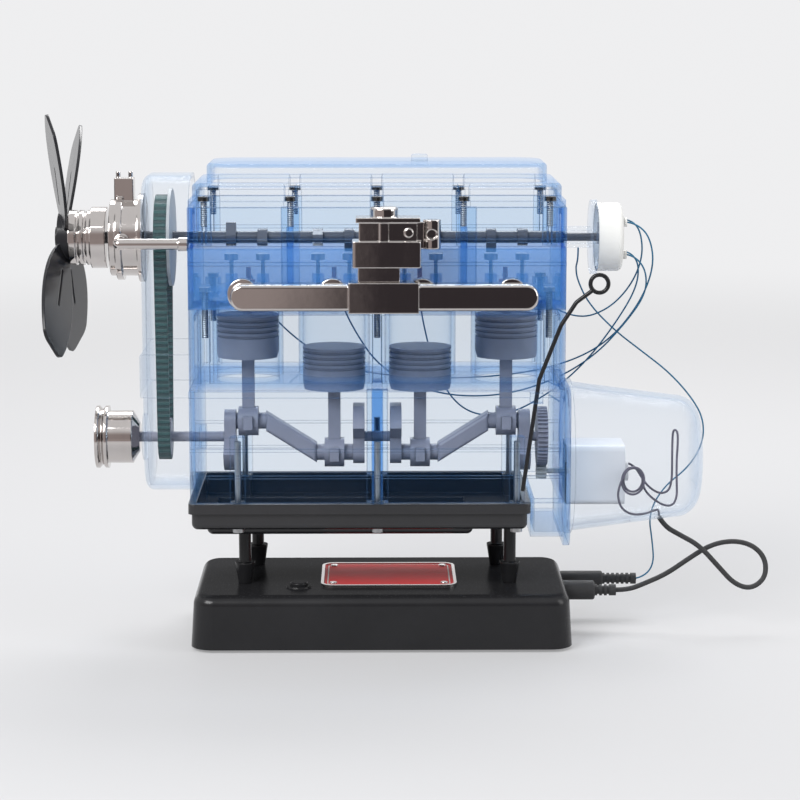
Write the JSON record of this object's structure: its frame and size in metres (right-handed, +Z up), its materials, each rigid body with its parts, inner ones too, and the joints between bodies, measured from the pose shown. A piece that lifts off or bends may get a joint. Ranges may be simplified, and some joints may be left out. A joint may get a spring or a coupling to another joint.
{
  "type": "four stroke engine model",
  "caption": "See-through desktop model of an inline four stroke engine with a turning crankshaft, moving pistons, camshaft, fan and motor drive on a black base.",
  "frame": {"origin": "on the table plane, under the middle of the base", "axes": "+X along the crankshaft from the fan towards the motor housing, +Y from the intake side to the rear, +Z up"},
  "size_m": [0.3499, 0.1218, 0.2558],
  "materials": {
    "black_gloss": "gloss",
    "black_rubber": "matte",
    "badge_red": "gloss",
    "clear_blue": "gloss",
    "clear_plain": "gloss",
    "chrome": "polished",
    "steel": "satin",
    "dark_screw": "satin",
    "piston_grey": "satin",
    "crank_grey": "satin",
    "dark_plastic": "satin",
    "pale_grey": "satin",
    "white_plastic": "satin",
    "belt_green": "matte",
    "lamp_red": "gloss",
    "cord_black": "satin",
    "wire_blue": "satin"
  },
  "bodies": {
    "engine": {"base_shell": "black_gloss", "base_plate": "black_gloss", "rubber_feet": "black_rubber", "badge_plate": "badge_red", "support_posts": "black_gloss", "oil_pan": "black_gloss", "pan_screws": "steel", "crankcase": "clear_blue", "cylinder_block": "clear_blue", "cylinder_head": "clear_blue", "head_bolts": "steel", "spark_plugs": "lamp_red", "rocker_cover": "clear_blue", "cover_screws": "dark_screw", "intake_manifold": "chrome", "carburettor": "chrome", "timing_cover": "clear_plain", "timing_belt": "belt_green", "water_pump": "chrome", "water_pipe": "chrome", "rear_plate": "clear_blue", "bell_housing": "clear_plain", "drive_motor": "pale_grey", "distributor_body": "clear_plain", "distributor_cap": "white_plastic", "motor_lead": "cord_black", "plug_front": "cord_black", "plug_rear": "cord_black", "spark_leads": "wire_blue", "feed_wire": "wire_blue"},
    "crank": {"crankshaft": "crank_grey", "crank_sprocket": "crank_grey", "crank_pulley": "chrome", "flywheel": "crank_grey"},
    "outer_rods": {"con_rod_1": "crank_grey", "con_rod_4": "crank_grey"},
    "inner_rods": {"con_rod_2": "crank_grey", "con_rod_3": "crank_grey"},
    "outer_links": {"web_plugs_outer": "crank_grey"},
    "inner_links": {"web_plugs_inner": "crank_grey"},
    "outer_pistons": {"piston_1": "piston_grey", "piston_4": "piston_grey"},
    "inner_pistons": {"piston_2": "piston_grey", "piston_3": "piston_grey"},
    "cam": {"camshaft": "dark_plastic", "cam_sprocket": "pale_grey", "fan_hub": "chrome", "fan_blades": "dark_plastic", "distributor_rotor": "dark_plastic"},
    "pinion": {"motor_pinion": "white_plastic"},
    "button": {"start_button": "black_gloss"},
    "dipstick": {"dipstick": "black_gloss"},
    "inlet_valve_1": {"inlet_valve_1": "steel"},
    "outlet_valve_1": {"outlet_valve_1": "steel"},
    "inlet_valve_2": {"inlet_valve_2": "steel"},
    "outlet_valve_2": {"outlet_valve_2": "steel"},
    "inlet_valve_3": {"inlet_valve_3": "steel"},
    "outlet_valve_3": {"outlet_valve_3": "steel"},
    "inlet_valve_4": {"inlet_valve_4": "steel"},
    "outlet_valve_4": {"outlet_valve_4": "steel"}
  },
  "joints": [
    {"name": "crank_spin", "type": "hinge", "parent": "engine", "child": "crank", "pos_m": [0, 0, 0.0972], "axis": [1, 0, 0], "continuous": true},
    {"name": "outer_rods_swing", "type": "hinge", "parent": "crank", "child": "outer_rods", "pos_m": [0, 0, 0.105], "axis": [1, 0, 0], "continuous": true},
    {"name": "inner_rods_swing", "type": "hinge", "parent": "crank", "child": "inner_rods", "pos_m": [0, 0, 0.0894], "axis": [1, 0, 0], "continuous": true},
    {"name": "outer_links_turn", "type": "hinge", "parent": "crank", "child": "outer_links", "pos_m": [0, 0, 0.1011], "axis": [1, 0, 0], "continuous": true},
    {"name": "inner_links_turn", "type": "hinge", "parent": "crank", "child": "inner_links", "pos_m": [0, 0, 0.0933], "axis": [1, 0, 0], "continuous": true},
    {"name": "outer_pistons_stroke", "type": "hinge", "parent": "outer_links", "child": "outer_pistons", "pos_m": [0, 0, 0.105], "axis": [1, 0, 0], "continuous": true},
    {"name": "inner_pistons_stroke", "type": "hinge", "parent": "inner_links", "child": "inner_pistons", "pos_m": [0, 0, 0.0894], "axis": [1, 0, 0], "continuous": true},
    {"name": "cam_spin", "type": "hinge", "parent": "engine", "child": "cam", "pos_m": [0, 0, 0.1949], "axis": [1, 0, 0], "continuous": true},
    {"name": "pinion_spin", "type": "hinge", "parent": "engine", "child": "pinion", "pos_m": [0, 0, 0.0797], "axis": [1, 0, 0], "continuous": true},
    {"name": "button_push", "type": "slide", "parent": "engine", "child": "button", "axis": [0, 0, 1], "range_m": [-0.0015, 0], "stiffness_N_per_m": 400, "springref_m": 0.001},
    {"name": "dipstick_pull", "type": "slide", "parent": "engine", "child": "dipstick", "axis": [0.1374, 0, 0.9905], "range_m": [0, 0.045]},
    {"name": "inlet_valve_1_lift", "type": "slide", "parent": "engine", "child": "inlet_valve_1", "axis": [0, 0, 1], "range_m": [-0.002, 0], "stiffness_N_per_m": 200, "springref_m": 0.001},
    {"name": "outlet_valve_1_lift", "type": "slide", "parent": "engine", "child": "outlet_valve_1", "axis": [0, 0, 1], "range_m": [-0.002, 0], "stiffness_N_per_m": 200, "springref_m": 0.001},
    {"name": "inlet_valve_2_lift", "type": "slide", "parent": "engine", "child": "inlet_valve_2", "axis": [0, 0, 1], "range_m": [-0.002, 0], "stiffness_N_per_m": 200, "springref_m": 0.001},
    {"name": "outlet_valve_2_lift", "type": "slide", "parent": "engine", "child": "outlet_valve_2", "axis": [0, 0, 1], "range_m": [-0.002, 0], "stiffness_N_per_m": 200, "springref_m": 0.001},
    {"name": "inlet_valve_3_lift", "type": "slide", "parent": "engine", "child": "inlet_valve_3", "axis": [0, 0, 1], "range_m": [-0.002, 0], "stiffness_N_per_m": 200, "springref_m": 0.001},
    {"name": "outlet_valve_3_lift", "type": "slide", "parent": "engine", "child": "outlet_valve_3", "axis": [0, 0, 1], "range_m": [-0.002, 0], "stiffness_N_per_m": 200, "springref_m": 0.001},
    {"name": "inlet_valve_4_lift", "type": "slide", "parent": "engine", "child": "inlet_valve_4", "axis": [0, 0, 1], "range_m": [-0.002, 0], "stiffness_N_per_m": 200, "springref_m": 0.001},
    {"name": "outlet_valve_4_lift", "type": "slide", "parent": "engine", "child": "outlet_valve_4", "axis": [0, 0, 1], "range_m": [-0.002, 0], "stiffness_N_per_m": 200, "springref_m": 0.001}
  ],
  "couplings": [
    {"joint": "outer_rods_swing", "follows": "crank_spin", "ratio": -1},
    {"joint": "inner_rods_swing", "follows": "crank_spin", "ratio": -1},
    {"joint": "outer_links_turn", "follows": "crank_spin", "ratio": -2},
    {"joint": "inner_links_turn", "follows": "crank_spin", "ratio": -2},
    {"joint": "outer_pistons_stroke", "follows": "crank_spin", "ratio": 1},
    {"joint": "inner_pistons_stroke", "follows": "crank_spin", "ratio": 1},
    {"joint": "cam_spin", "follows": "crank_spin", "ratio": 0.5},
    {"joint": "pinion_spin", "follows": "crank_spin", "ratio": -4}
  ]
}
